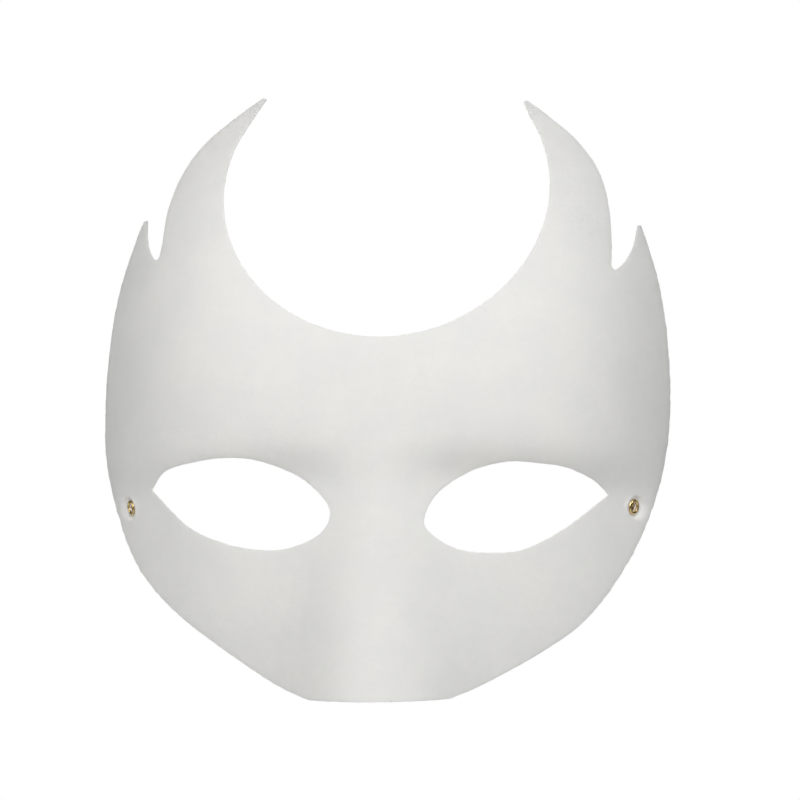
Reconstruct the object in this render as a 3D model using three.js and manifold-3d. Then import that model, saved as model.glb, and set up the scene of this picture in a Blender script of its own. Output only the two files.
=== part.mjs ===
// A blank half mask of moulded paper pulp, with a horned crest over a crescent-shaped gap,
// and the two brass eyelets that its head cord is tied to.
// Millimetres. +Z is up, -Y faces the viewer and +X is the viewer's right.
// The origin is where the inside of the nose bridge rests on the wearer, level with the eyes.

import * as THREE from 'three';
import { mergeVertices } from 'three/addons/utils/BufferGeometryUtils.js';
import Module from 'manifold-3d';

// Overall size. The trimmed outline below is drawn at the drawn size and stretched to these.
const WIDTH = 180;
const HEIGHT = 188;
const DRAWN_WIDTH = 180;
const DRAWN_HEIGHT = 188;
const STRETCH_X = WIDTH / DRAWN_WIDTH;
const STRETCH_Z = HEIGHT / DRAWN_HEIGHT;

// The pulp sheet.
const SHELL_THICKNESS = 1.8;

// The wrap: seen from above, the face curves back round the head, ever faster towards the sides.
const WRAP_DEPTH = 43;
const WRAP_POWER = 3.8;
const CREST_TAPER = 0.08;
const CREST_TAPER_START = 40;
const CREST_TAPER_REACH = 100;

// The lean: seen from the side, the forehead and the cheeks fall back from the brow.
const BROW_HEIGHT = 32;
const FOREHEAD_RADIUS = 130;
const CHEEK_RADIUS = 320;

// The nose ridge, which grows out of the forehead down to the lower edge.
const NOSE_TOP = 38;
const NOSE_FOOT = -58;
const NOSE_HEIGHT = 30.5;
const NOSE_POWER = 2.2;
const NOSE_HALF_WIDTH_AT_EYES = 16.6;
const NOSE_HALF_WIDTH_AT_FOOT = 28.6;
const NOSE_ROUNDNESS = 2.48;
const NOSE_CREST = 2.5;

// The eye sockets, which step back under the brow on both sides of the nose.
const SOCKET_DEPTH = 9.1;
const SOCKET_BROW = { height: 13, bow: 0.00087, middle: 3.8, softness: 6.6 };
const SOCKET_FLOOR = { height: -22.5, softness: 26.8 };
const SOCKET_NOSE_SIDE = { x: 13.1, softness: 17 };
const SOCKET_TEMPLE_SIDE = { x: 78.6, softness: 9.6 };

// The crescent between the horns: part of an ellipse, open at the top.
const CRESCENT = { x: 2.2, z: 97.5, halfWidth: 50.2, halfHeight: 46.8 };

// The trimmed edge of each half, from the horn tip to the lower edge, as [distance from the
// centre plane, height]. The blank is trimmed by hand, so the halves differ by a few millimetres.
const LEFT = {
  name: 'left',
  side: -1,
  hornTip: [[37.5, 128.9], [38.8, 129.5]],
  hornEdge: [[48.0, 121.9], [56.8, 113.8], [63.3, 103.9], [67.1, 92.6], [68.2, 82.0]],
  notch: [[69.2, 77.3], [70.9, 77.5], [73.5, 82.6]],
  spikeTip: [[74.6, 90.3], [76.0, 90.1]],
  sideEdge: [[79.0, 82.9], [84.4, 66.7], [87.6, 49.8], [89.4, 32.0], [89.3, 15.5], [85.4, -0.7],
    [78.3, -17.2], [66.4, -30.5], [47.4, -44.3], [32.2, -53.5]],
  chin: [20.0, -57.8],
  crescentTop: 118,
  eyeCorner: [71.6, 5.4],
  eyeUpper: [[66.5, 10.8], [58.1, 13.2], [47.1, 14.6], [36.6, 13.8], [24.7, 9.3], [16.9, 3.0]],
  eyeInner: [14.1, -2.6],
  eyeLower: [[17.2, -8.2], [25.5, -12.2], [34.6, -13.2], [47.0, -11.2], [59.7, -5.7]],
  eyeletHeight: -0.1,
};
const RIGHT = {
  name: 'right',
  side: 1,
  hornTip: [[43.6, 125.9], [44.8, 126.8]],
  hornEdge: [[52.1, 120.9], [60.9, 112.8], [67.5, 102.7], [70.4, 91.3], [71.2, 79.2]],
  notch: [[71.1, 73.0], [72.2, 71.5], [74.8, 73.9], [77.4, 79.0]],
  spikeTip: [[79.0, 86.3], [80.2, 86.3]],
  sideEdge: [[82.9, 78.0], [85.8, 66.8], [87.9, 51.0], [88.6, 33.5], [87.3, 16.1], [82.9, -1.0],
    [74.4, -19.4], [61.8, -35.7], [47.0, -46.0], [31.2, -54.2]],
  chin: [21.8, -57.8],
  crescentTop: 120,
  eyeCorner: [69.0, 2.4],
  eyeUpper: [[64.6, 6.9], [57.0, 10.6], [48.0, 12.1], [38.5, 12.5], [27.4, 9.4], [18.1, 3.0]],
  eyeInner: [14.4, -4.8],
  eyeLower: [[17.5, -9.6], [25.0, -13.6], [35.0, -14.6], [44.5, -13.4], [56.3, -7.3]],
  eyeletHeight: -1.4,
};

// The eye openings start beside the nose and stop short of the side edge, to leave the eyelet's band.
const EYE_INNER = 14.2;
const EYE_HEIGHT = 27.5;
const DRAWN_EYE_HEIGHT = 27.5;
const EYE_BAND = 16;

// The eyelets, each in a shallow round seat pressed into the front and the back of the sheet.
const EYELET_INSET = 5.6;
const SEAT_RADIUS = 3.1;
const SEAT_DEPTH = 0.2;
const EYELET_BORE = 1.3;
const EYELET_WALL = 0.3;
const EYELET_FLANGE_RADIUS = 2.45;
const EYELET_FLANGE_HEIGHT = 0.5;
const EYELET_ROLL_RADIUS = 2.4;
const EYELET_ROLL_HEIGHT = 0.55;
const EYELET_LAND = 0.4;
const EYELET_ROUNDING = 0.2;
const CLEARANCE = 0.3;

// How finely the sheet and the round parts are divided.
const GRID_STEP = 5;
const EDGE_STEP = 2.5;
const CRESCENT_STEPS = 64;
const ROUND_SEGMENTS = 28;
const BLANK_DEPTH = 60;
const BLANK_MARGIN = 1.5;
const SLOPE_STEP = 0.2;

const wasm = await Module();
wasm.setup();

// --- Solids

function solidOf(geometry) {
  const bare = geometry.clone();
  bare.deleteAttribute('normal');
  bare.deleteAttribute('uv');
  const merged = mergeVertices(bare, 1e-4);
  const vertProperties = new Float32Array(merged.attributes.position.array);
  const triVerts = new Uint32Array(merged.index.array);
  return new wasm.Manifold(new wasm.Mesh({ numProp: 3, vertProperties, triVerts }));
}

function geometryOf(solid) {
  const { vertProperties, triVerts } = solid.getMesh();
  const geometry = new THREE.BufferGeometry();
  geometry.setAttribute('position', new THREE.BufferAttribute(new Float32Array(vertProperties), 3));
  geometry.setIndex(new THREE.BufferAttribute(new Uint32Array(triVerts), 1));
  return geometry;
}

// --- The relief of the face

// Goes smoothly from 0 below the middle to 1 above it.
function ramp(value, middle, softness) {
  return 0.5 + 0.5 * Math.tanh((value - middle) / softness);
}

function wrap(x, z) {
  const rise = Math.max(z - CREST_TAPER_START, 0) / CREST_TAPER_REACH;
  const halfWidth = WIDTH / 2 * (1 - CREST_TAPER * rise ** 2);
  return WRAP_DEPTH * (Math.abs(x) / halfWidth) ** WRAP_POWER;
}

function lean(z) {
  const drop = z - BROW_HEIGHT;
  const radius = drop > 0 ? FOREHEAD_RADIUS : CHEEK_RADIUS;
  return radius - Math.sqrt(radius ** 2 - drop ** 2);
}

function nose(x, z) {
  const along = Math.max((NOSE_TOP - z) / (NOSE_TOP - NOSE_FOOT), 0);
  const below = Math.max(z / NOSE_FOOT, 0);
  const halfWidth = THREE.MathUtils.lerp(NOSE_HALF_WIDTH_AT_EYES, NOSE_HALF_WIDTH_AT_FOOT, below);
  const across = (x ** 2 + NOSE_CREST ** 2) ** (NOSE_ROUNDNESS / 2) - NOSE_CREST ** NOSE_ROUNDNESS;
  return NOSE_HEIGHT * along ** NOSE_POWER * Math.exp(-across / halfWidth ** NOSE_ROUNDNESS);
}

function socket(x, z) {
  const out = Math.abs(x);
  const brow = SOCKET_BROW.height - SOCKET_BROW.bow * (out - SOCKET_BROW.middle) ** 2;
  const underBrow = 1 - ramp(z, brow, SOCKET_BROW.softness);
  const aboveFloor = ramp(z, SOCKET_FLOOR.height, SOCKET_FLOOR.softness);
  const besideNose = ramp(out, SOCKET_NOSE_SIDE.x, SOCKET_NOSE_SIDE.softness);
  const insideTemple = 1 - ramp(out, SOCKET_TEMPLE_SIDE.x, SOCKET_TEMPLE_SIDE.softness);
  return SOCKET_DEPTH * underBrow * aboveFloor * besideNose * insideTemple;
}

function relief(x, z) {
  return wrap(x, z) + lean(z) - nose(x, z) + socket(x, z);
}

// The y of the front face, set so that the inside of the nose bridge is at the origin.
const BRIDGE_FRONT = relief(0, 0) + SHELL_THICKNESS;
function faceY(x, z) {
  return relief(x, z) - BRIDGE_FRONT;
}

// The unit vector that points out of the front face.
function faceNormal(x, z) {
  const slopeX = (faceY(x + SLOPE_STEP, z) - faceY(x - SLOPE_STEP, z)) / (2 * SLOPE_STEP);
  const slopeZ = (faceY(x, z + SLOPE_STEP) - faceY(x, z - SLOPE_STEP)) / (2 * SLOPE_STEP);
  return new THREE.Vector3(slopeX, -1, slopeZ).normalize();
}

// --- The trimmed outline, as points of [x, z]

function trace(points) {
  const curve = new THREE.SplineCurve(points);
  return curve.getSpacedPoints(Math.ceil(curve.getLength() / EDGE_STEP));
}

function placed(half, points) {
  return points.map(([x, z]) => new THREE.Vector2(half.side * x * STRETCH_X, z * STRETCH_Z));
}

function sideEdge(half) {
  return trace(placed(half, [half.spikeTip[1], ...half.sideEdge, half.chin]));
}

function halfOutline(half) {
  const crest = [half.hornTip[1], ...half.hornEdge, ...half.notch, half.spikeTip[0]];
  return [...placed(half, [half.hornTip[0]]), ...trace(placed(half, crest)), ...sideEdge(half)];
}

// The arc runs from the right horn down, under and up to the left horn.
function crescentArc() {
  const rightTurn = Math.asin((RIGHT.crescentTop - CRESCENT.z) / CRESCENT.halfHeight);
  const leftTurn = -Math.PI - Math.asin((LEFT.crescentTop - CRESCENT.z) / CRESCENT.halfHeight);
  const points = [];
  for (let i = 0; i <= CRESCENT_STEPS; i++) {
    const turn = THREE.MathUtils.lerp(rightTurn, leftTurn, i / CRESCENT_STEPS);
    const x = CRESCENT.x + CRESCENT.halfWidth * Math.cos(turn);
    const z = CRESCENT.z + CRESCENT.halfHeight * Math.sin(turn);
    points.push(new THREE.Vector2(x * STRETCH_X, z * STRETCH_Z));
  }
  return points;
}

// How far the side edge is from the centre plane at a height.
function sideEdgeReach(half, height) {
  const edge = sideEdge(half);
  const next = edge.findIndex((point) => point.y < height);
  const above = edge[next - 1];
  const below = edge[next];
  const share = (above.y - height) / (above.y - below.y);
  return Math.abs(THREE.MathUtils.lerp(above.x, below.x, share));
}

function eyeOutline(half) {
  const [drawnCorner, cornerHeight] = half.eyeCorner;
  const corner = sideEdgeReach(half, cornerHeight) - EYE_BAND;
  const stretch = (corner - EYE_INNER) / (drawnCorner - half.eyeInner[0]);
  const lift = EYE_HEIGHT / DRAWN_EYE_HEIGHT;
  const at = ([x, z]) => {
    const out = EYE_INNER + (x - half.eyeInner[0]) * stretch;
    return new THREE.Vector2(half.side * out, z * lift);
  };
  const loop = [half.eyeCorner, ...half.eyeUpper, half.eyeInner, ...half.eyeLower, half.eyeCorner];
  return trace(loop.map(at)).slice(0, -1);
}

// --- The mask shell

// A prism of the outline that runs the whole way through the blank, along Y.
function prism(points) {
  const length = 4 * BLANK_DEPTH;
  const geometry = new THREE.ExtrudeGeometry(new THREE.Shape(points), { depth: length, bevelEnabled: false });
  geometry.rotateX(Math.PI / 2);
  geometry.translate(0, length / 2, 0);
  return solidOf(geometry);
}

// The pressed sheet before trimming: its back lies straight behind its front, a blank's depth away.
function blank() {
  const reach = WIDTH / 2 + BLANK_MARGIN;
  const low = LEFT.chin[1] * STRETCH_Z - BLANK_MARGIN;
  const high = LEFT.hornTip[1][1] * STRETCH_Z + BLANK_MARGIN;
  const columns = Math.ceil(2 * reach / GRID_STEP);
  const rows = Math.ceil((high - low) / GRID_STEP);
  const layer = (columns + 1) * (rows + 1);
  const positions = [];
  for (const behind of [0, BLANK_DEPTH]) {
    for (let row = 0; row <= rows; row++) {
      for (let column = 0; column <= columns; column++) {
        const x = THREE.MathUtils.lerp(-reach, reach, column / columns);
        const z = THREE.MathUtils.lerp(low, high, row / rows);
        positions.push(x, faceY(x, z) + behind, z);
      }
    }
  }
  const indices = [];
  const quad = (a, b, c, d) => indices.push(a, b, c, a, c, d);
  const at = (column, row) => row * (columns + 1) + column;
  for (let row = 0; row < rows; row++) {
    for (let column = 0; column < columns; column++) {
      const [a, b] = [at(column, row), at(column + 1, row)];
      const [c, d] = [at(column + 1, row + 1), at(column, row + 1)];
      quad(a, b, c, d);
      quad(layer + d, layer + c, layer + b, layer + a);
    }
  }
  const wall = (a, b) => quad(a, layer + a, layer + b, b);
  for (let column = 0; column < columns; column++) {
    wall(at(column, 0), at(column + 1, 0));
    wall(at(column + 1, rows), at(column, rows));
  }
  for (let row = 0; row < rows; row++) {
    wall(at(0, row + 1), at(0, row));
    wall(at(columns, row), at(columns, row + 1));
  }
  const geometry = new THREE.BufferGeometry();
  geometry.setAttribute('position', new THREE.Float32BufferAttribute(positions, 3));
  geometry.setIndex(indices);
  return solidOf(geometry);
}

// Brings the trimmed blank down to the sheet's thickness. Each point of the back moves to the
// sheet's thickness behind its own point of the front, so the cut edges stand square to the face.
function thinned(solid) {
  const geometry = geometryOf(solid);
  const position = geometry.attributes.position;
  for (let i = 0; i < position.count; i++) {
    const x = position.getX(i);
    const z = position.getZ(i);
    const front = new THREE.Vector3(x, faceY(x, z), z);
    const isBack = position.getY(i) - front.y > BLANK_DEPTH / 2;
    if (isBack) front.addScaledVector(faceNormal(x, z), -SHELL_THICKNESS);
    position.setXYZ(i, front.x, front.y, front.z);
  }
  return geometry;
}

// --- The eyelets, along an axis that points out of the front face, from 0 on the face itself

const FLANGE_UNDERSIDE = CLEARANCE - SEAT_DEPTH;
const FLANGE_TOP = FLANGE_UNDERSIDE + EYELET_FLANGE_HEIGHT;
const ROLL_UPPER_SIDE = SEAT_DEPTH - SHELL_THICKNESS - CLEARANCE;
const ROLL_BOTTOM = ROLL_UPPER_SIDE - EYELET_ROLL_HEIGHT;
const BARREL_RADIUS = EYELET_BORE + EYELET_WALL;
const AXIS = new THREE.Vector3(0, 1, 0);

function eyeletPlace(half) {
  const z = half.eyeletHeight;
  const x = half.side * (sideEdgeReach(half, z) - EYELET_INSET);
  const normal = faceNormal(x, z);
  const turn = new THREE.Quaternion().setFromUnitVectors(AXIS, normal);
  return { point: new THREE.Vector3(x, faceY(x, z), z), turn };
}

// A cylinder round the eyelet's axis, from one height on it to another.
function boring({ point, turn }, radius, from, to) {
  const geometry = new THREE.CylinderGeometry(radius, radius, to - from, ROUND_SEGMENTS);
  geometry.translate(0, (from + to) / 2, 0);
  geometry.applyQuaternion(turn);
  geometry.translate(point.x, point.y, point.z);
  return solidOf(geometry);
}

function eyeletGeometry() {
  const rounding = EYELET_ROUNDING;
  const landInner = BARREL_RADIUS + rounding / 2;
  const profile = [
    [landInner, ROLL_BOTTOM],
    [landInner + EYELET_LAND, ROLL_BOTTOM],
    [EYELET_ROLL_RADIUS, ROLL_BOTTOM + rounding],
    [EYELET_ROLL_RADIUS, ROLL_UPPER_SIDE],
    [BARREL_RADIUS, ROLL_UPPER_SIDE],
    [BARREL_RADIUS, FLANGE_UNDERSIDE],
    [EYELET_FLANGE_RADIUS, FLANGE_UNDERSIDE],
    [EYELET_FLANGE_RADIUS, FLANGE_TOP - rounding],
    [landInner + EYELET_LAND, FLANGE_TOP],
    [landInner, FLANGE_TOP],
    [EYELET_BORE + rounding / 2, FLANGE_TOP - rounding],
    [EYELET_BORE, FLANGE_TOP - 2 * rounding],
    [EYELET_BORE, ROLL_BOTTOM + 2 * rounding],
    [EYELET_BORE + rounding / 2, ROLL_BOTTOM + rounding],
    [landInner, ROLL_BOTTOM],
  ];
  return new THREE.LatheGeometry(profile.map(([r, h]) => new THREE.Vector2(r, h)), ROUND_SEGMENTS);
}

// --- Materials and assembly

const PULP = new THREE.MeshStandardMaterial({ color: 0xdcdbd8, roughness: 0.9, metalness: 0 });
const BRASS = new THREE.MeshStandardMaterial({ color: 0xc79a45, roughness: 0.3, metalness: 1 });

function maskShell() {
  const outline = [...halfOutline(LEFT), ...halfOutline(RIGHT).reverse(), ...crescentArc()];
  let trimmed = blank().intersect(prism(outline));
  for (const half of [LEFT, RIGHT]) {
    trimmed = trimmed.subtract(prism(eyeOutline(half)));
  }
  let shell = solidOf(thinned(trimmed));
  for (const half of [LEFT, RIGHT]) {
    const place = eyeletPlace(half);
    shell = shell.subtract(boring(place, BARREL_RADIUS + CLEARANCE, -2 * SHELL_THICKNESS, SHELL_THICKNESS));
    shell = shell.subtract(boring(place, SEAT_RADIUS, -SEAT_DEPTH, SHELL_THICKNESS));
    shell = shell.subtract(boring(place, SEAT_RADIUS, -2 * SHELL_THICKNESS, SEAT_DEPTH - SHELL_THICKNESS));
  }
  const mesh = new THREE.Mesh(geometryOf(shell), PULP);
  mesh.name = 'mask_shell';
  return mesh;
}

function eyelet(half) {
  const { point, turn } = eyeletPlace(half);
  const mesh = new THREE.Mesh(eyeletGeometry(), BRASS);
  mesh.name = `eyelet_${half.name}`;
  mesh.position.copy(point);
  mesh.quaternion.copy(turn);
  return mesh;
}

const group = new THREE.Group();
group.add(maskShell(), eyelet(LEFT), eyelet(RIGHT));

export default group;
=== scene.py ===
import math

import bpy
import numpy as np
from mathutils import Matrix, Vector, geometry, noise


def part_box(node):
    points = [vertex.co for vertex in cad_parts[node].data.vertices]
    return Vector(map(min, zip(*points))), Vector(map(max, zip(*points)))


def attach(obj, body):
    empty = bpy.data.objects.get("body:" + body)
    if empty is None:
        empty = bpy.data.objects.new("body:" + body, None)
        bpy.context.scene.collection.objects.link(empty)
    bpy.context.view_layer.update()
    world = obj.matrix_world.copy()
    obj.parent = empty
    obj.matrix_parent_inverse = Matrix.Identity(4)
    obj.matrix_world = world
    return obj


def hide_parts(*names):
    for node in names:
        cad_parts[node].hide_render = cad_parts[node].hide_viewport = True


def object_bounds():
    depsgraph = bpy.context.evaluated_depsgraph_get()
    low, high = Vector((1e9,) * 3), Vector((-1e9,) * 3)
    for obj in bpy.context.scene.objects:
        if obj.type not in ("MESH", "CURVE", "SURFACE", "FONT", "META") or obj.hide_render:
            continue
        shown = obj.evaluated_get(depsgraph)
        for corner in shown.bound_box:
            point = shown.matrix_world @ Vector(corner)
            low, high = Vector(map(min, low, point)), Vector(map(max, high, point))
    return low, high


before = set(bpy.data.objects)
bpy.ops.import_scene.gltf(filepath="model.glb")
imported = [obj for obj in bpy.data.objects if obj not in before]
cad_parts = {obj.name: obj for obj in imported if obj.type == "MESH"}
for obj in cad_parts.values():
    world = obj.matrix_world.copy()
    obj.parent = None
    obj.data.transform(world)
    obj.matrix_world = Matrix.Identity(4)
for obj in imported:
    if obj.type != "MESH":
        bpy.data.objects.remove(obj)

CAD_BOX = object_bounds()

# Lengths are in millimetres up to the point where a mesh is made.
MM = 0.001

# The pulp sheet and its overall size.
WIDTH = 180.0
THICKNESS = 1.8

# The relief of the face: the same formula and sizes as the CAD shell that this shell stands for.
WRAP_DEPTH, WRAP_POWER = 43.0, 3.8
CREST_TAPER, CREST_TAPER_START, CREST_TAPER_REACH = 0.08, 40.0, 100.0
BROW_HEIGHT, FOREHEAD_RADIUS, CHEEK_RADIUS = 32.0, 130.0, 320.0
NOSE_TOP, NOSE_FOOT, NOSE_HEIGHT, NOSE_POWER = 38.0, -58.0, 30.5, 2.2
NOSE_HALF_WIDTH_AT_EYES, NOSE_HALF_WIDTH_AT_FOOT = 16.6, 28.6
NOSE_ROUNDNESS, NOSE_CREST = 2.48, 2.5
SOCKET_DEPTH = 9.1
BROW_LINE, BROW_BOW, BROW_MIDDLE, BROW_SOFTNESS = 13.0, 0.00087, 3.8, 6.6
SOCKET_FLOOR, SOCKET_FLOOR_SOFTNESS = -22.5, 26.8
SOCKET_NOSE_SIDE, SOCKET_NOSE_SOFTNESS = 13.1, 17.0
SOCKET_TEMPLE_SIDE, SOCKET_TEMPLE_SOFTNESS = 78.6, 9.6

# The crescent between the horns.
CRESCENT_X, CRESCENT_Z, CRESCENT_HALF_WIDTH, CRESCENT_HALF_HEIGHT = 2.2, 97.5, 50.2, 46.8

# The hand-trimmed halves, as [distance from the centre plane, height].
LEFT = dict(
    side=-1,
    horn_tip=[(37.5, 128.9), (38.8, 129.5)],
    horn_edge=[(48.0, 121.9), (56.8, 113.8), (63.3, 103.9), (67.1, 92.6), (68.2, 82.0)],
    notch=[(69.2, 77.3), (70.9, 77.5), (73.5, 82.6)],
    spike_tip=[(74.6, 90.3), (76.0, 90.1)],
    side_edge=[(79.0, 82.9), (84.4, 66.7), (87.6, 49.8), (89.4, 32.0), (89.3, 15.5),
               (85.4, -0.7), (78.3, -17.2), (66.4, -30.5), (47.4, -44.3), (32.2, -53.5)],
    chin=(20.0, -57.8),
    crescent_top=118.0,
    eye=[(71.6, 5.4), (66.5, 10.8), (58.1, 13.2), (47.1, 14.6), (36.6, 13.8), (24.7, 9.3),
         (16.9, 3.0), (14.1, -2.6), (17.2, -8.2), (25.5, -12.2), (34.6, -13.2), (47.0, -11.2),
         (59.7, -5.7), (71.6, 5.4)],
    eyelet="eyelet_left",
)
RIGHT = dict(
    side=1,
    horn_tip=[(43.6, 125.9), (44.8, 126.8)],
    horn_edge=[(52.1, 120.9), (60.9, 112.8), (67.5, 102.7), (70.4, 91.3), (71.2, 79.2)],
    notch=[(71.1, 73.0), (72.2, 71.5), (74.8, 73.9), (77.4, 79.0)],
    spike_tip=[(79.0, 86.3), (80.2, 86.3)],
    side_edge=[(82.9, 78.0), (85.8, 66.8), (87.9, 51.0), (88.6, 33.5), (87.3, 16.1),
               (82.9, -1.0), (74.4, -19.4), (61.8, -35.7), (47.0, -46.0), (31.2, -54.2)],
    chin=(21.8, -57.8),
    crescent_top=120.0,
    eye=[(69.0, 2.4), (64.6, 6.9), (57.0, 10.6), (48.0, 12.1), (38.5, 12.5), (27.4, 9.4),
         (18.1, 3.0), (14.4, -4.8), (17.5, -9.6), (25.0, -13.6), (35.0, -14.6), (44.5, -13.4),
         (56.3, -7.3), (69.0, 2.4)],
    eyelet="eyelet_right",
)

# The fine mesh of the sheet.
EDGE_STEP = 0.55
GRID_STEP = 1.15
GRID_CLEARANCE = 0.6
CURVE_STEPS, ARC_STEPS = 24, 400
SLOPE_STEP = 0.2
BATCH = 2000

# The cut edges. They are cut straight back from the front, with an undercut, except where the face
# has turned so far towards a side that its normal points forward by less than TURNED.
EDGE_ROUNDING = 0.35
UNDERCUT = 0.5
TURNED, TURNED_SOFTNESS = 0.45, 0.1
WALL_ROWS = (0.35, 0.5, 0.65)
RIM_ROUGHNESS = 0.4
FRAY, FLANK_FRAY, FRAY_SIZE, FRAY_SEED, FRAY_SEED_STEP = 0.04, 0.06, 0.8, 31, 0.6

# How far the trimming wanders from its line: on the crest, how much more on the flanks, and at
# the eyes.
CREST_WANDER, FLANK_WANDER = 0.10, 0.32
EYE_WANDER, EYE_WANDER_SIZE, EYE_WANDER_SEED = 0.10, 1.6, 11
FLANK_START, FLANK_SOFTNESS, FRAY_SOFTNESS = 70, 6, 5
FLANK_TOP, FLANK_TOP_SOFTNESS = 75, 5

# Layers of smooth noise, as (depth, size, seed).
TRIM_WAVES = ((0.6, 2.6, 3), (0.7, 1.1, 5))
FRONT_WAVES = ((0.10, 23.0, 2), (0.05, 7.0, 4), (0.022, 2.4, 6))
BACK_WAVES = ((0.12, 11.0, 21), (0.09, 3.6, 22), (0.05, 1.5, 23))

# Faint wrinkles in the pulp beside the nose: x, top and bottom heights, sideways drift, depth.
WRINKLES = [
    (-20.5, -16, -44, -4.0, 0.16),
    (-26.0, -22, -50, -6.0, 0.12),
    (-15.5, -20, -40, -2.0, 0.10),
    (20.0, -20, -46, 2.0, 0.13),
    (24.5, -18, -42, 1.5, 0.10),
]
WRINKLE_WIDTH, WRINKLE_BEND, WRINKLE_TURNS, WRINKLE_FADE = 0.9, 0.8, 5, 5

# The eyelets and the seats that they are pressed into.
HOLE_RADIUS = 1.62
FLANGE_RADIUS = 2.45
SEAT_RADIUS = 3.1
SEAT_DEPTH = 0.2
SEAT_LIP = 0.07
SEAT_RINGS = (2.0, 2.4, 2.75, 3.0, 3.2, 3.4, 3.65, 4.0, 4.5)
SEAT_POINTS_PER_MM, HOLE_POINTS = 14, 40
FRONT_SEAT_SOFTNESS, BACK_SEAT_SOFTNESS, EDGE_SEAT_SOFTNESS = 0.16, 0.2, 0.3
LIP_DISTANCE, LIP_WIDTH = 0.35, 0.3
FLANGE_HEIGHT = 0.6
ROLL_RADIUS, ROLL_HEIGHT, ROLL_PETALS = 2.4, 0.5, 7
EYELET_BORE = 1.3
EYELET_WALL = 0.28
EYELET_SEGMENTS = 112
EYELET_TILT, EYELET_DROOP = math.radians(15), 0.3
PROJECTION_ROUNDS = 8
PETAL_SPLIT_DEPTH, PETAL_SPLIT_WIDTH = 0.35, 0.07
DENT, DENT_SIZE = 0.012, 3
DISH_DEPTH = 0.45
DISH_RADIUS, DISH_SOFTNESS = 3.35, 0.4


# --- The relief

def ramp(value, middle, softness):
    return 0.5 + 0.5 * np.tanh((value - middle) / softness)


def relief(x, z):
    out = np.abs(x)
    rise = np.maximum(z - CREST_TAPER_START, 0) / CREST_TAPER_REACH
    wrap = WRAP_DEPTH * (out / (WIDTH / 2 * (1 - CREST_TAPER * rise**2)))**WRAP_POWER
    drop = z - BROW_HEIGHT
    radius = np.where(drop > 0, FOREHEAD_RADIUS, CHEEK_RADIUS)
    lean = radius - np.sqrt(radius**2 - drop**2)
    along = np.maximum((NOSE_TOP - z) / (NOSE_TOP - NOSE_FOOT), 0)
    widening = NOSE_HALF_WIDTH_AT_FOOT - NOSE_HALF_WIDTH_AT_EYES
    half_width = NOSE_HALF_WIDTH_AT_EYES + widening * np.maximum(z / NOSE_FOOT, 0)
    across = (x**2 + NOSE_CREST**2)**(NOSE_ROUNDNESS / 2) - NOSE_CREST**NOSE_ROUNDNESS
    nose = NOSE_HEIGHT * along**NOSE_POWER * np.exp(-across / half_width**NOSE_ROUNDNESS)
    brow = BROW_LINE - BROW_BOW * (out - BROW_MIDDLE)**2
    socket = SOCKET_DEPTH * (1 - ramp(z, brow, BROW_SOFTNESS))
    socket = socket * ramp(z, SOCKET_FLOOR, SOCKET_FLOOR_SOFTNESS)
    socket = socket * ramp(out, SOCKET_NOSE_SIDE, SOCKET_NOSE_SOFTNESS)
    socket = socket * (1 - ramp(out, SOCKET_TEMPLE_SIDE, SOCKET_TEMPLE_SOFTNESS))
    return wrap + lean - nose + socket


BRIDGE_FRONT = relief(np.array(0.0), np.array(0.0)) + THICKNESS


def face_points(flat):
    """The points of the front face at each [x, z]."""
    x, z = flat[:, 0], flat[:, 1]
    return np.stack([x, relief(x, z) - BRIDGE_FRONT, z], 1)


def face_normals(flat):
    """The unit vectors that point out of the front face."""
    right, up = np.array([SLOPE_STEP, 0]), np.array([0, SLOPE_STEP])
    slope_x = (face_points(flat + right) - face_points(flat - right))[:, 1] / (2 * SLOPE_STEP)
    slope_z = (face_points(flat + up) - face_points(flat - up))[:, 1] / (2 * SLOPE_STEP)
    return unit(np.stack([slope_x, -np.ones(len(flat)), slope_z], 1))


def unit(vectors):
    return vectors / np.linalg.norm(vectors, axis=1, keepdims=True)


# --- The trimmed outline

def spaced(dense, step):
    """Points a step apart along a run of points."""
    lengths = np.hypot(*np.diff(dense, axis=0).T)
    along = np.concatenate([[0], np.cumsum(lengths)])
    places = np.linspace(0, along[-1], max(2, math.ceil(along[-1] / step)) + 1)
    return np.stack([np.interp(places, along, dense[:, i]) for i in (0, 1)], 1)


def smooth_curve(points):
    """A Catmull-Rom curve through the points."""
    knots = np.array(points, float)
    padded = np.vstack([knots[:1], knots, knots[-1:]])
    t = np.linspace(0, 1, CURVE_STEPS, endpoint=False)[:, None]
    runs = []
    for before, a, b, after in zip(padded, padded[1:], padded[2:], padded[3:]):
        leave, arrive = (b - before) / 2, (after - a) / 2
        runs.append((2 * a - 2 * b + leave + arrive) * t**3
                    + (3 * b - 3 * a - 2 * leave - arrive) * t**2 + leave * t + a)
    return spaced(np.vstack(runs + [knots[-1:]]), EDGE_STEP)


def half_outline(half):
    """From the horn tip to the lower edge."""
    crest = [half["horn_tip"][1], *half["horn_edge"], *half["notch"], half["spike_tip"][0]]
    flank = [half["spike_tip"][1], *half["side_edge"], half["chin"]]
    points = np.vstack([half["horn_tip"][:1], smooth_curve(crest), smooth_curve(flank)])
    return points * [half["side"], 1]


def crescent_arc():
    """From the right horn down, under and up to the left horn."""
    start = math.asin((RIGHT["crescent_top"] - CRESCENT_Z) / CRESCENT_HALF_HEIGHT)
    end = -math.pi - math.asin((LEFT["crescent_top"] - CRESCENT_Z) / CRESCENT_HALF_HEIGHT)
    turn = np.linspace(start, end, ARC_STEPS)
    x = CRESCENT_X + CRESCENT_HALF_WIDTH * np.cos(turn)
    z = CRESCENT_Z + CRESCENT_HALF_HEIGHT * np.sin(turn)
    return np.stack([x, z], 1)


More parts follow.
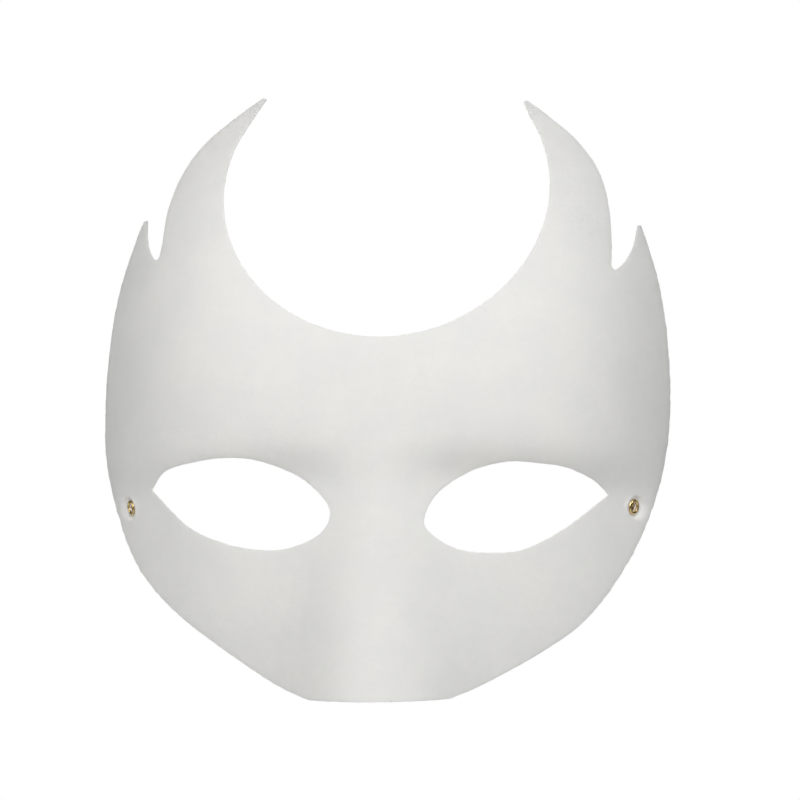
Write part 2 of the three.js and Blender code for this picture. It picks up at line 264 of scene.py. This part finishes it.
def outer_loop():
    loop = np.vstack([half_outline(LEFT), half_outline(RIGHT)[::-1], crescent_arc()])
    return spaced(np.vstack([loop, loop[:1]]), EDGE_STEP)[:-1]


def eye_loop(half):
    return smooth_curve(half["eye"])[:-1] * [half["side"], 1]


def counter_clockwise(loop):
    x, z = loop[:, 0], loop[:, 1]
    area = np.sum(x * np.roll(z, -1) - np.roll(x, -1) * z)
    return loop if area > 0 else loop[::-1]


def drawn_in(loop, amount):
    """Moves a loop along the sheet, away from the side without sheet, which is on its right."""
    points = face_points(loop)
    tangents = unit(np.roll(points, -1, 0) - np.roll(points, 1, 0))
    outward = np.cross(tangents, face_normals(loop))
    return loop - np.reshape(amount, (-1, 1)) * outward[:, [0, 2]]


def wander(points, size, seed):
    """Smooth noise from -1 to 1 at each point, with features of a size in millimetres."""
    shift = Vector((seed, 7 * seed, 0))
    return np.array([noise.noise(Vector((*p, 0)[:3]) / size + shift) for p in points])


def waves(points, layers):
    return sum(depth * wander(points, size, seed) for depth, size, seed in layers)


def trimmed_loops():
    """The edges of the sheet's flat front, with the small wander of hand trimming."""
    outer = counter_clockwise(outer_loop())
    flank = ramp(np.abs(outer[:, 0]), FLANK_START, FLANK_SOFTNESS)
    flank = flank * ramp(FLANK_TOP - outer[:, 1], 0, FLANK_TOP_SOFTNESS)
    cut = (CREST_WANDER + FLANK_WANDER * flank) * waves(outer, TRIM_WAVES)
    loops = [drawn_in(outer, EDGE_ROUNDING + cut)]
    for half in (LEFT, RIGHT):
        eye = counter_clockwise(eye_loop(half))[::-1]
        cut = EYE_WANDER * wander(eye, EYE_WANDER_SIZE, EYE_WANDER_SEED + half["side"])
        loops.append(drawn_in(eye, EDGE_ROUNDING + cut))
    return loops


# --- The eyelets' places, read from the frame

def eyelet_place(half):
    """The point on the face that the eyelet's axis goes through, and the face's normal there."""
    low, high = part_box(half["eyelet"])
    middle = (Vector(low) + Vector(high)) / 2 / MM
    flat = np.array([[middle.x, middle.z]])
    for _ in range(PROJECTION_ROUNDS):
        point, normal = face_points(flat)[0], face_normals(flat)[0]
        offset = np.array(middle) - point
        flat = flat + (offset - offset.dot(normal) * normal)[[0, 2]]
    return face_points(flat)[0], face_normals(flat)[0]


def set_place(half):
    """The eyelet's own axis. It leans outward and down, and the pulp is pulled in with it."""
    point, normal = eyelet_place(half)
    outward = np.cross(normal, [0, 0, 1]) * -half["side"]
    outward = outward / np.linalg.norm(outward) - [0, 0, EYELET_DROOP]
    outward = outward / np.linalg.norm(outward)
    axis = math.cos(EYELET_TILT) * normal + math.sin(EYELET_TILT) * outward
    return point - DISH_DEPTH * normal, axis


def square_to(axis):
    """Two unit vectors square to an axis and to each other: one level, one upward."""
    side = np.cross(axis, [0, 0, 1])
    side = side / np.linalg.norm(side)
    return side, np.cross(side, axis)


def circle_on_face(place, radius, count):
    """The [x, z] of a circle round an eyelet's axis."""
    point, axis = place
    side, up = square_to(axis)
    turn = np.linspace(0, 2 * math.pi, count, endpoint=False)[:, None]
    return (point + radius * (np.cos(turn) * side + np.sin(turn) * up))[:, [0, 2]]


def distance_from_axis(points, place):
    point, axis = place
    offset = points - point
    return np.linalg.norm(offset - (offset @ axis)[:, None] * axis, axis=1)


# --- The sheet's mesh

def inside(points, loop):
    """Which points a loop goes round."""
    x, z = points[:, 0:1], points[:, 1:2]
    ax, az = loop[:, 0], loop[:, 1]
    bx, bz = np.roll(ax, -1), np.roll(az, -1)
    result = np.zeros(len(points), bool)
    for i in range(0, len(points), BATCH):
        part = slice(i, i + BATCH)
        straddles = (az > z[part]) != (bz > z[part])
        slant = np.where(bz == az, 1, bz - az)
        crossing = ax + (z[part] - az) * (bx - ax) / slant
        result[part] = (straddles & (x[part] < crossing)).sum(1) % 2 == 1
    return result


def nearest_gap(points, others):
    gap = np.empty(len(points))
    for i in range(0, len(points), BATCH):
        part = points[i:i + BATCH]
        gap[i:i + BATCH] = np.sqrt(((part[:, None] - others[None])**2).sum(2).min(1))
    return gap


def on_sheet(points, loops):
    result = inside(points, loops[0])
    for hole in loops[1:]:
        result &= ~inside(points, hole)
    return result


def triangulated(loops, extra):
    """Fills the sheet between its loops with even triangles, seen from the front."""
    low, high = loops[0].min(0), loops[0].max(0)
    row_step = GRID_STEP * math.sqrt(3) / 2
    rows = np.arange(low[1], high[1], row_step)
    lattice = []
    for i, z in enumerate(rows):
        x = np.arange(low[0] + (i % 2) * GRID_STEP / 2, high[0], GRID_STEP)
        lattice.append(np.stack([x, np.full(len(x), z)], 1))
    lattice = np.vstack(lattice)
    lattice = lattice[on_sheet(lattice, loops)]
    edges_and_extra = np.vstack(loops + [extra])
    lattice = lattice[nearest_gap(lattice, edges_and_extra) > GRID_CLEARANCE * GRID_STEP]
    points = [Vector(p) for p in np.vstack(loops + [extra, lattice])]
    edges = []
    start = 0
    for loop in loops:
        count = len(loop)
        edges += [(start + i, start + (i + 1) % count) for i in range(count)]
        start += count
    flat, _, triangles, *_ = geometry.delaunay_2d_cdt(points, edges, [], 0, 1e-6, False)
    flat = np.array([tuple(p) for p in flat])
    triangles = np.array(triangles)
    middles = flat[triangles].mean(1)
    triangles = triangles[on_sheet(middles, loops)]
    a, b, c = (flat[triangles[:, i]] for i in range(3))
    area = (b[:, 0] - a[:, 0]) * (c[:, 1] - a[:, 1]) - (b[:, 1] - a[:, 1]) * (c[:, 0] - a[:, 0])
    triangles[area < 0] = triangles[area < 0][:, ::-1]
    used = np.unique(triangles)
    renumbered = np.full(len(flat), -1)
    renumbered[used] = np.arange(len(used))
    return flat[used], renumbered[triangles]


def rim_of(triangles):
    """The directed edges that only one triangle has, with the sheet on their left."""
    directed = {(int(t[i]), int(t[(i + 1) % 3])) for t in triangles for i in range(3)}
    return [(a, b) for a, b in directed if (b, a) not in directed]


def wrinkle_depth(flat):
    depth = np.zeros(len(flat))
    for x, top, bottom, drift, deepest in WRINKLES:
        share = (top - flat[:, 1]) / (top - bottom)
        line = x + drift * share + WRINKLE_BEND * np.sin(WRINKLE_TURNS * share)
        fade = np.clip(WRINKLE_FADE * share, 0, 1) * np.clip(WRINKLE_FADE * (1 - share), 0, 1)
        depth += deepest * fade * np.exp(-((flat[:, 0] - line) / WRINKLE_WIDTH)**2)
    return depth


def seat_shape(points, places, softness):
    """How far each point is inside an eyelet's seat, and how far it is on the seat's raised lip."""
    away = np.min([distance_from_axis(points, place) for place in places], 0)
    on_lip = np.exp(-((away - SEAT_RADIUS - LIP_DISTANCE) / LIP_WIDTH)**2)
    return 1 - ramp(away, SEAT_RADIUS, softness), on_lip


def dish(points, normals, places):
    """How far the sheet is pulled off the smooth relief, to lie square to the eyelets' axes."""
    moved = np.zeros(len(points))
    for point, axis in places:
        near = 1 - ramp(distance_from_axis(points, (point, axis)), DISH_RADIUS, DISH_SOFTNESS)
        moved += near * ((point - points) @ axis) / (normals @ axis)
    return moved


def front_detail(flat, points, places):
    """How far the front stands proud of the smooth relief."""
    in_seat, on_lip = seat_shape(points, places, FRONT_SEAT_SOFTNESS)
    felted = (waves(flat, FRONT_WAVES) - wrinkle_depth(flat)) * (1 - in_seat)
    return felted - SEAT_DEPTH * in_seat + SEAT_LIP * on_lip


def back_detail(flat, points, places):
    """How far the inside stands proud: bare pulp, rougher than the pressed front."""
    in_seat, _ = seat_shape(points, places, BACK_SEAT_SOFTNESS)
    return waves(flat, BACK_WAVES) * (1 - in_seat) - SEAT_DEPTH * in_seat


def edge_section():
    """The rows of a cut edge, as [how far out, how deep]: a wall with soft corners."""
    rows = []
    for turn in (30, 60, 90):
        a = math.radians(turn)
        rows.append((EDGE_ROUNDING * math.sin(a), EDGE_ROUNDING * (1 - math.cos(a))))
    middle = [(EDGE_ROUNDING, THICKNESS * share) for share in WALL_ROWS]
    return rows + middle + [(out, THICKNESS - deep) for out, deep in reversed(rows)]


def through_sheet(normals):
    """From the front to the inside, for each millimetre of sheet. That is straight back, but
    square to the sheet where it has turned towards a side."""
    turned = 1 - ramp(-normals[:, 1:2], TURNED, TURNED_SOFTNESS)
    way = unit(np.array([[0.0, 1.0, 0.0]]) * (1 - turned) - normals * turned)
    return way / -(way * normals).sum(1, keepdims=True)


def mesh_piece(name, points, faces, material):
    """Makes a smooth-shaded object from points in millimetres."""
    mesh = bpy.data.meshes.new(name)
    whole = [tuple(int(i) for i in face) for face in faces]
    mesh.from_pydata((np.asarray(points) * MM).tolist(), [], whole)
    mesh.materials.append(material)
    mesh.polygons.foreach_set("use_smooth", np.full(len(mesh.polygons), True))
    mesh.update()
    piece = bpy.data.objects.new(name, mesh)
    bpy.context.scene.collection.objects.link(piece)
    return piece


def mark(piece, name, values):
    """Stores a number at each point, for the material to read."""
    made = piece.data.attributes.new(name, "FLOAT", "POINT")
    made.data.foreach_set("value", np.asarray(values, np.float32))


def make_shell(places, material):
    """The pulp sheet: a pressed front, a rough back and cut edges between them."""
    loops = trimmed_loops()
    rings = []
    for place in places:
        loops.append(counter_clockwise(circle_on_face(place, HOLE_RADIUS, HOLE_POINTS))[::-1])
        rings += [circle_on_face(place, radius, int(SEAT_POINTS_PER_MM * radius))
                  for radius in SEAT_RINGS]
    flat, triangles = triangulated(loops, np.vstack(rings))
    smooth_face = face_points(flat)
    normals = face_normals(flat)
    face = smooth_face + normals * dish(smooth_face, normals, places)[:, None]
    front = face + normals * front_detail(flat, smooth_face, places)[:, None]
    depth = THICKNESS + back_detail(flat, smooth_face, places)
    back = face + through_sheet(normals) * depth[:, None]
    count = len(flat)
    points = [front, back]
    faces = [tuple(t) for t in triangles] + [tuple(t[::-1] + count) for t in triangles]

    rim = rim_of(triangles)
    after = dict(rim)
    before = {b: a for a, b in rim}
    corners = np.array(sorted(after))
    ahead = np.array([after[i] for i in corners])
    behind = np.array([before[i] for i in corners])
    outward = unit(np.cross(front[ahead] - front[behind], normals[corners]))
    in_seat, _ = seat_shape(smooth_face[corners], places, EDGE_SEAT_SOFTNESS)
    back[corners] -= outward * (UNDERCUT * (1 - in_seat))[:, None]
    order = {corner: i for i, corner in enumerate(corners)}
    fray = FRAY + FLANK_FRAY * ramp(np.abs(flat[corners, 0]), FLANK_START, FRAY_SOFTNESS)
    rows = [{c: c for c in corners}]
    start = 2 * count
    for number, (out, deep) in enumerate(edge_section()):
        share = deep / THICKNESS
        wall = front[corners] * (1 - share) + back[corners] * share
        torn = fray * wander(wall[:, [0, 2]], FRAY_SIZE, FRAY_SEED + FRAY_SEED_STEP * number)
        points.append(wall + outward * (out + torn)[:, None])
        rows.append({c: start + order[c] for c in corners})
        start += len(corners)
    rows.append({c: c + count for c in corners})
    for near, far in zip(rows, rows[1:]):
        faces += [(near[b], near[a], far[a], far[b]) for a, b in rim]

    shell = mesh_piece("pulp_shell", np.vstack(points), faces, material)
    rim_count = start - 2 * count
    on_front, on_back, on_rim = np.zeros(count), np.ones(count), np.full(rim_count, RIM_ROUGHNESS)
    mark(shell, "inside", np.concatenate([on_front, on_back, on_rim]))
    mark(shell, "cut", np.concatenate([np.zeros(2 * count), np.ones(rim_count)]))
    in_seat, on_lip = seat_shape(smooth_face, places, EDGE_SEAT_SOFTNESS)
    pressed = np.clip(in_seat + on_lip, 0, 1)
    mark(shell, "pressed", np.concatenate([pressed, pressed, np.zeros(rim_count)]))
    return shell


# --- The eyelets

def arch(middle, half_width, height, start, end, count):
    """Part of an ellipse between two angles, as [radius from the axis, height above the face]."""
    turn = np.radians(np.linspace(start, end, count))
    radius, rise = middle[0] + half_width * np.cos(turn), middle[1] + height * np.sin(turn)
    return np.stack([radius, rise], 1)


def make_eyelet(name, place, material):
    """A brass eyelet: a flange in front, a barrel, and an end split and curled in setting."""
    point, axis = place
    outer, bore = FLANGE_RADIUS, EYELET_BORE
    seat, far_seat = -SEAT_DEPTH, SEAT_DEPTH - THICKNESS
    flange = arch(((outer + bore) / 2, seat), (outer - bore) / 2, FLANGE_HEIGHT, 0, 180, 18)
    roll = arch(((ROLL_RADIUS + bore) / 2, far_seat), (ROLL_RADIUS - bore) / 2, ROLL_HEIGHT,
                180, 360, 14)
    barrel = [(bore, seat + (far_seat - seat) * share) for share in (0.25, 0.5, 0.75)]
    hidden = [(ROLL_RADIUS - 0.2, far_seat + 0.02), (bore + EYELET_WALL, far_seat + 0.02),
              (bore + EYELET_WALL, seat - 0.02), (outer - 0.2, seat - 0.02)]
    section = np.vstack([flange, barrel, roll, hidden])
    curled = np.zeros(len(section))
    curled[len(flange) + len(barrel) + 4:len(section) - 4] = 1

    side, up = square_to(axis)
    points = []
    for i in range(EYELET_SEGMENTS):
        turn = 2 * math.pi * i / EYELET_SEGMENTS
        from_split = (turn * ROLL_PETALS / (2 * math.pi) + 0.5) % 1 - 0.5
        split = math.exp(-(from_split / PETAL_SPLIT_WIDTH)**2)
        radius = section[:, 0] - PETAL_SPLIT_DEPTH * split * curled * (section[:, 0] - bore)
        spot = Vector((DENT_SIZE * math.cos(turn), DENT_SIZE * math.sin(turn), point[0]))
        height = section[:, 1] + DENT * noise.noise(spot)
        spoke = math.cos(turn) * side + math.sin(turn) * up
        points.append(point + radius[:, None] * spoke + height[:, None] * axis)
    size = len(section)
    faces = []
    for i in range(EYELET_SEGMENTS):
        here, there = i * size, (i + 1) % EYELET_SEGMENTS * size
        for j in range(size):
            k = (j + 1) % size
            faces.append((here + j, there + j, there + k, here + k))
    eyelet = mesh_piece(name, np.vstack(points), faces, material)
    worn = np.tile(np.clip((section[:, 1] - seat) / FLANGE_HEIGHT, 0, 1), EYELET_SEGMENTS)
    mark(eyelet, "worn", worn)
    return eyelet


# --- Materials

PULP_LIGHT = (0.830, 0.825, 0.805, 1)
PULP_SHADE = (0.800, 0.797, 0.785, 1)
PULP_GREY = (0.70, 0.70, 0.695, 1)
PULP_BRIGHT = (0.90, 0.895, 0.88, 1)
PULP_GRIT = (0.22, 0.20, 0.18, 1)
BRASS_BRIGHT = (0.86, 0.66, 0.30, 1)
BRASS_TARNISHED = (0.30, 0.17, 0.06, 1)
BRASS_SCRATCH = (0.95, 0.82, 0.55, 1)
FLOOR_LIGHT = (0.88, 0.88, 0.87, 1)
FLOOR_DARK = (0.85, 0.85, 0.84, 1)


def add(tree, kind, inputs=None, **settings):
    """Adds a node, sets its options, and fills or links its inputs."""
    made = tree.nodes.new(kind)
    for name, value in settings.items():
        setattr(made, name, value)
    for name, value in (inputs or {}).items():
        if isinstance(value, bpy.types.NodeSocket):
            tree.links.new(value, made.inputs[name])
        else:
            made.inputs[name].default_value = value
    return made


def new_material(name):
    material = bpy.data.materials.new(name)
    material.use_nodes = True
    tree = material.node_tree
    tree.nodes.clear()
    metres = add(tree, "ShaderNodeTexCoord").outputs["Object"]
    place = add(tree, "ShaderNodeVectorMath", {0: metres, "Scale": 1 / MM}, operation="SCALE")
    return material, tree, place.outputs[0]


def noise_of(tree, place, size, detail=2.0, rough=0.5, distortion=0.0):
    """Noise from 0 to 1, with features of a size in millimetres."""
    made = add(tree, "ShaderNodeTexNoise", {
        "Vector": place, "Scale": 1 / size,
        "Detail": detail, "Roughness": rough, "Distortion": distortion})
    return made.outputs["Fac"]


def mapped(tree, value, from_low, from_high, to_low=0.0, to_high=1.0):
    made = add(tree, "ShaderNodeMapRange", {
        "Value": value, "From Min": from_low, "From Max": from_high,
        "To Min": to_low, "To Max": to_high})
    return made.outputs["Result"]


def maths(tree, operation, *values):
    return add(tree, "ShaderNodeMath", dict(enumerate(values)), operation=operation).outputs[0]


def mixed(tree, share, a, b, blend="MIX"):
    made = add(tree, "ShaderNodeMix", data_type="RGBA", blend_type=blend)
    for number, value in ((0, share), (6, a), (7, b)):
        if isinstance(value, bpy.types.NodeSocket):
            tree.links.new(value, made.inputs[number])
        else:
            made.inputs[number].default_value = value
    return made.outputs[2]


def attribute(tree, name):
    return add(tree, "ShaderNodeAttribute", attribute_name=name).outputs["Fac"]


def fibres(tree, place, length, width):
    """Hair-fine lines that lie in three directions, 1 on a fibre and 0 between."""
    result = None
    for number, turn in enumerate(((0.3, 0.4, 0.2), (1.2, 0.9, 0.5), (0.7, 2.2, 1.6))):
        laid = add(tree, "ShaderNodeMapping", {
            "Vector": place, "Location": (7.0 * number, 3.0, 0.0), "Rotation": turn,
            "Scale": (length, 7 * width, 7 * width)}, vector_type="TEXTURE").outputs[0]
        strands = noise_of(tree, laid, 1.0, 1.0, 0.5, 0.6)
        from_middle = maths(tree, "ABSOLUTE", maths(tree, "SUBTRACT", strands, 0.5))
        line = mapped(tree, from_middle, 0.03, 0.0)
        result = line if result is None else maths(tree, "MAXIMUM", result, line)
    return result


def pulp_material():
    """White paper pulp: pressed smooth outside, rough inside, and cut edges with specks of grit,
    painted paler as painted light on their walls.
    """
    material, tree, place = new_material("paper_pulp")
    inner, cut, pressed = (attribute(tree, name) for name in ("inside", "cut", "pressed"))
    clouds = noise_of(tree, place, 16.0, 3.0)
    mottle = noise_of(tree, place, 2.6, 4.0, 0.65)
    grain = noise_of(tree, place, 0.5, 4.0, 0.7)
    hairs = fibres(tree, place, 2.2, 0.09)

    colour = mixed(tree, mapped(tree, clouds, 0.35, 0.65), PULP_SHADE, PULP_LIGHT)
    speckle = mapped(tree, mottle, 0.3, 0.7, 0.0, 0.16)
    colour = mixed(tree, speckle, colour, PULP_GREY)
    colour = mixed(tree, mapped(tree, hairs, 0, 1, 0.0, 0.12), colour, PULP_BRIGHT)
    # Painted light: the cut edges are mixed towards PULP_BRIGHT so that their walls do not fall
    # into shade.
    colour = mixed(tree, maths(tree, "MULTIPLY", cut, 0.7), colour, PULP_BRIGHT)
    colour = mixed(tree, maths(tree, "MULTIPLY", pressed, 0.6), colour, PULP_BRIGHT)
    soiled = maths(tree, "MULTIPLY", inner, mapped(tree, mottle, 0.3, 0.7, 0.1, 0.5))
    colour = mixed(tree, soiled, colour, PULP_GREY)
    grit = noise_of(tree, place, 0.9, 2.0)
    grit_on_face = mapped(tree, grit, 0.80, 0.84, 0.0, 0.35)
    grit_on_cut = maths(tree, "MULTIPLY", cut, mapped(tree, grit, 0.66, 0.72, 0.0, 0.6))
    colour = mixed(tree, maths(tree, "MAXIMUM", grit_on_face, grit_on_cut), colour, PULP_GRIT)

    felt = maths(tree, "ADD", mottle, maths(tree, "MULTIPLY", grain, 0.45))
    felt = maths(tree, "ADD", felt, maths(tree, "MULTIPLY", hairs, 0.22))
    coarse = mapped(tree, inner, 0, 1, 1.0, 2.2)
    felt = maths(tree, "MULTIPLY", felt, coarse)
    felt = maths(tree, "MULTIPLY", felt, mapped(tree, pressed, 0, 1, 1.0, 0.35))
    bump = add(tree, "ShaderNodeBump", {"Height": felt, "Strength": 0.55, "Distance": 0.16 * MM})
    roughness = mapped(tree, grain, 0.2, 0.8, 0.82, 0.96)
    shader = add(tree, "ShaderNodeBsdfPrincipled", {
        "Base Color": colour, "Roughness": roughness, "Normal": bump.outputs[0],
        "Specular IOR Level": 0.25, "Sheen Weight": 0.08, "Sheen Roughness": 0.6})
    add(tree, "ShaderNodeOutputMaterial", {"Surface": shader.outputs[0]})
    return material


def brass_material():
    """Pressed brass: bright where it is rubbed, tarnished in the hollows, finely scratched."""
    material, tree, place = new_material("eyelet_brass")
    worn = attribute(tree, "worn")
    tarnish = noise_of(tree, place, 0.7, 5.0, 0.65)
    tarnish = maths(tree, "ADD", tarnish, mapped(tree, worn, 0, 1, 0.22, -0.06))
    tarnish = mapped(tree, tarnish, 0.50, 0.72)
    colour = mixed(tree, tarnish, BRASS_BRIGHT, BRASS_TARNISHED)
    scratches = fibres(tree, place, 1.1, 0.02)
    colour = mixed(tree, maths(tree, "MULTIPLY", scratches, 0.35), colour, BRASS_SCRATCH)
    roughness = maths(tree, "ADD", mapped(tree, tarnish, 0, 1, 0.20, 0.48),
                      maths(tree, "MULTIPLY", scratches, 0.1))
    height = maths(tree, "ADD", maths(tree, "MULTIPLY", noise_of(tree, place, 0.35, 3.0), 0.6),
                   maths(tree, "MULTIPLY", scratches, -0.4))
    bump = add(tree, "ShaderNodeBump", {"Height": height, "Strength": 0.4, "Distance": 0.02 * MM})
    shader = add(tree, "ShaderNodeBsdfPrincipled", {
        "Base Color": colour, "Roughness": roughness, "Metallic": 1.0, "Normal": bump.outputs[0]})
    add(tree, "ShaderNodeOutputMaterial", {"Surface": shader.outputs[0]})
    return material


def floor_material():
    material, tree, place = new_material("pale_floor")
    clouds = mapped(tree, noise_of(tree, place, 60.0, 3.0), 0.3, 0.7)
    tone = mixed(tree, clouds, FLOOR_DARK, FLOOR_LIGHT)
    shader = add(tree, "ShaderNodeBsdfPrincipled", {"Base Color": tone, "Roughness": 0.85})
    add(tree, "ShaderNodeOutputMaterial", {"Surface": shader.outputs[0]})
    return material




# --- The pieces

places = [set_place(half) for half in (LEFT, RIGHT)]
shell = make_shell(places, pulp_material())
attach(shell, "root")
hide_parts("mask_shell")

brass = brass_material()
for half, place in zip((LEFT, RIGHT), places):
    eyelet = make_eyelet(half["eyelet"] + "_brass", place, brass)
    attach(eyelet, "root")
    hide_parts(half["eyelet"])


# --- The camera, level with the eyes and a little towards +X. Lengths are in metres from here on.

VIEW_YAW, VIEW_ROLL = math.radians(5.3), math.radians(0.6)
VIEW_DISTANCE = 0.935
VIEW_DEPTH = 0.0342
AIM_RIGHT, AIM_UP = 0.004657, 0.03493
LENS, SENSOR = 135.3, 36.0

ahead = Vector((-math.sin(VIEW_YAW), math.cos(VIEW_YAW), 0))
level = Vector((math.cos(VIEW_YAW), math.sin(VIEW_YAW), 0))
vertical = Vector((0, 0, 1))
right = math.cos(VIEW_ROLL) * level - math.sin(VIEW_ROLL) * vertical
up = math.sin(VIEW_ROLL) * level + math.cos(VIEW_ROLL) * vertical
aim = (ahead + AIM_RIGHT * right + AIM_UP * up).normalized()
right = aim.cross(up).normalized()
up = right.cross(aim)
camera_data = bpy.data.cameras.new("camera")
camera_data.lens = LENS
camera_data.sensor_width = SENSOR
camera = bpy.data.objects.new("camera", camera_data)
bpy.context.scene.collection.objects.link(camera)
camera.matrix_world = Matrix.Translation(Vector((0, VIEW_DEPTH, 0)) - VIEW_DISTANCE * ahead) \
    @ Matrix((right, up, -aim)).transposed().to_4x4()
bpy.context.scene.camera = camera


# --- Light, floor and world

LIT_POINT = Vector((0, 0.01, 0.03))
WARM, COOL, BACK_TINT = (1.0, 0.992, 0.978), (0.97, 0.985, 1.0), (1.0, 0.995, 0.985)


def area_light(name, azimuth, elevation, distance, size, power, colour):
    """A square soft light that looks at the mask. Azimuth 0 is in front, and turns towards +X."""
    a, e = math.radians(azimuth), math.radians(elevation)
    data = bpy.data.lights.new(name, "AREA")
    data.shape = "SQUARE"
    data.size = size
    data.energy = power
    data.color = colour
    lamp = bpy.data.objects.new(name, data)
    toward = Vector((math.cos(e) * math.sin(a), -math.cos(e) * math.cos(a), math.sin(e)))
    turned = toward.to_track_quat("Z", "Y").to_matrix().to_4x4()
    lamp.matrix_world = Matrix.Translation(LIT_POINT + toward * distance) @ turned
    lamp.visible_camera = False
    bpy.context.scene.collection.objects.link(lamp)


area_light("key", 0, 25, 0.5, 0.3, 1.98, WARM)
area_light("top", 0, 60, 1.3, 0.55, 1.35, WARM)
area_light("left", -80, 5, 0.8, 0.4, 1.33, COOL)
area_light("right", 60, 30, 1.3, 0.55, 4.31, COOL)
area_light("back", 180, 28, 1.5, 1.2, 20.0, BACK_TINT)

low = Vector(CAD_BOX[0])
FLOOR_HEIGHT = low.z - 0.29
FLOOR_SHIFT = 0.4
FLOOR_WIDTH = 2.0
FLOOR_CELLS = 8
bpy.ops.mesh.primitive_grid_add(x_subdivisions=FLOOR_CELLS, y_subdivisions=FLOOR_CELLS,
                                size=FLOOR_WIDTH, location=(0, FLOOR_SHIFT, FLOOR_HEIGHT))
floor = bpy.context.object
floor.name = "floor"
floor.data.materials.append(floor_material())

world = bpy.data.worlds.new("studio")
world.use_nodes = True
tree = world.node_tree
tree.nodes.clear()
seen = add(tree, "ShaderNodeBackground", {"Color": (1, 1, 1, 1), "Strength": 1.0})
felt = add(tree, "ShaderNodeBackground", {"Color": (0.96, 0.98, 1, 1), "Strength": 0.02})
path = add(tree, "ShaderNodeLightPath")
both = add(tree, "ShaderNodeMixShader", {
    0: path.outputs["Is Camera Ray"], 1: felt.outputs[0], 2: seen.outputs[0]})
add(tree, "ShaderNodeOutputWorld", {"Surface": both.outputs[0]})
bpy.context.scene.world = world
bpy.context.scene.view_settings.view_transform = "Standard"
